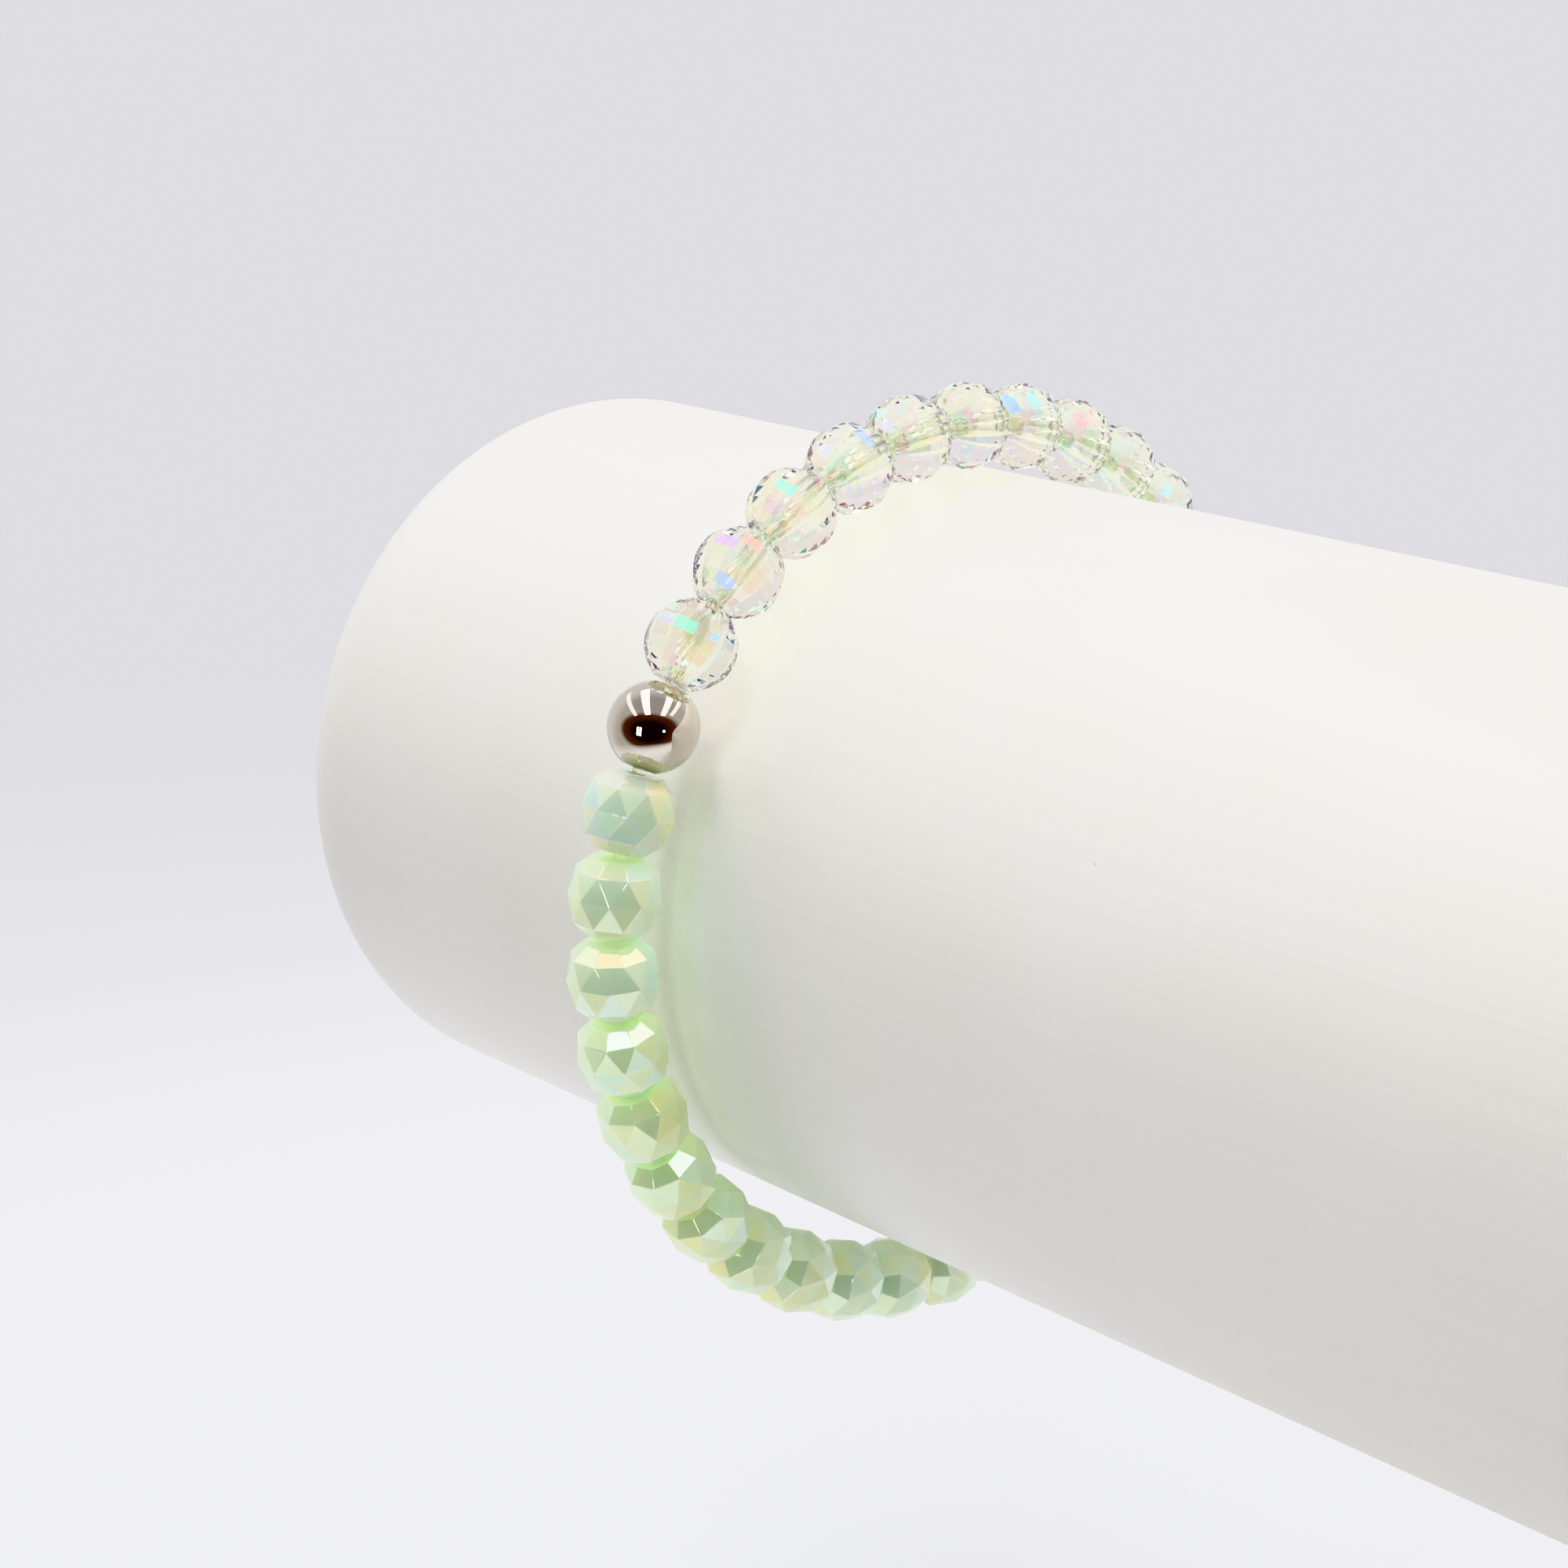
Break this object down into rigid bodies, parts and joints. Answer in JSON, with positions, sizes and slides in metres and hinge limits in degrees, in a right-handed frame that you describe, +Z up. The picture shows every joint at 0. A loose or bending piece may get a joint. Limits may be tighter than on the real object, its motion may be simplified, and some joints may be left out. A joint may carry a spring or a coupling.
{
  "type": "crystal bracelet on display bar",
  "caption": "Stretch bracelet of clear faceted and mint glass beads with one silver ball, hanging on a round display bar with a post and foot.",
  "frame": {"origin": "middle of the underside of the stand's foot", "axes": "+Z up; +X along the bar, from its free end to its post; the silver ball is at the front, on the -Y side"},
  "size_m": [0.1397, 0.0712, 0.1187],
  "materials": {
    "clear_crystal": "clear cut glass with a rainbow coating",
    "mint_glass": "milky mint cut glass with a rainbow coating",
    "silver": "mirror polished",
    "stretch_thread": "clear smooth elastic",
    "ivory_lacquer": "ivory satin lacquer with fine lines along the bar"
  },
  "bodies": {
    "root": {"crystal_01": "clear_crystal", "crystal_02": "clear_crystal", "crystal_03": "clear_crystal", "crystal_04": "clear_crystal", "crystal_05": "clear_crystal", "crystal_06": "clear_crystal", "crystal_07": "clear_crystal", "crystal_08": "clear_crystal", "crystal_09": "clear_crystal", "crystal_10": "clear_crystal", "crystal_11": "clear_crystal", "crystal_12": "clear_crystal", "crystal_13": "clear_crystal", "crystal_14": "clear_crystal", "crystal_15": "clear_crystal", "crystal_16": "clear_crystal", "crystal_17": "clear_crystal", "silver_ball": "silver", "mint_01": "mint_glass", "mint_02": "mint_glass", "mint_03": "mint_glass", "mint_04": "mint_glass", "mint_05": "mint_glass", "mint_06": "mint_glass", "mint_07": "mint_glass", "mint_08": "mint_glass", "mint_09": "mint_glass", "mint_10": "mint_glass", "mint_11": "mint_glass", "mint_12": "mint_glass", "mint_13": "mint_glass", "mint_14": "mint_glass", "mint_15": "mint_glass", "mint_16": "mint_glass", "mint_17": "mint_glass", "mint_18": "mint_glass", "elastic_thread": "stretch_thread", "display_bar": "ivory_lacquer", "stand": "ivory_lacquer"}
  },
  "joints": []
}
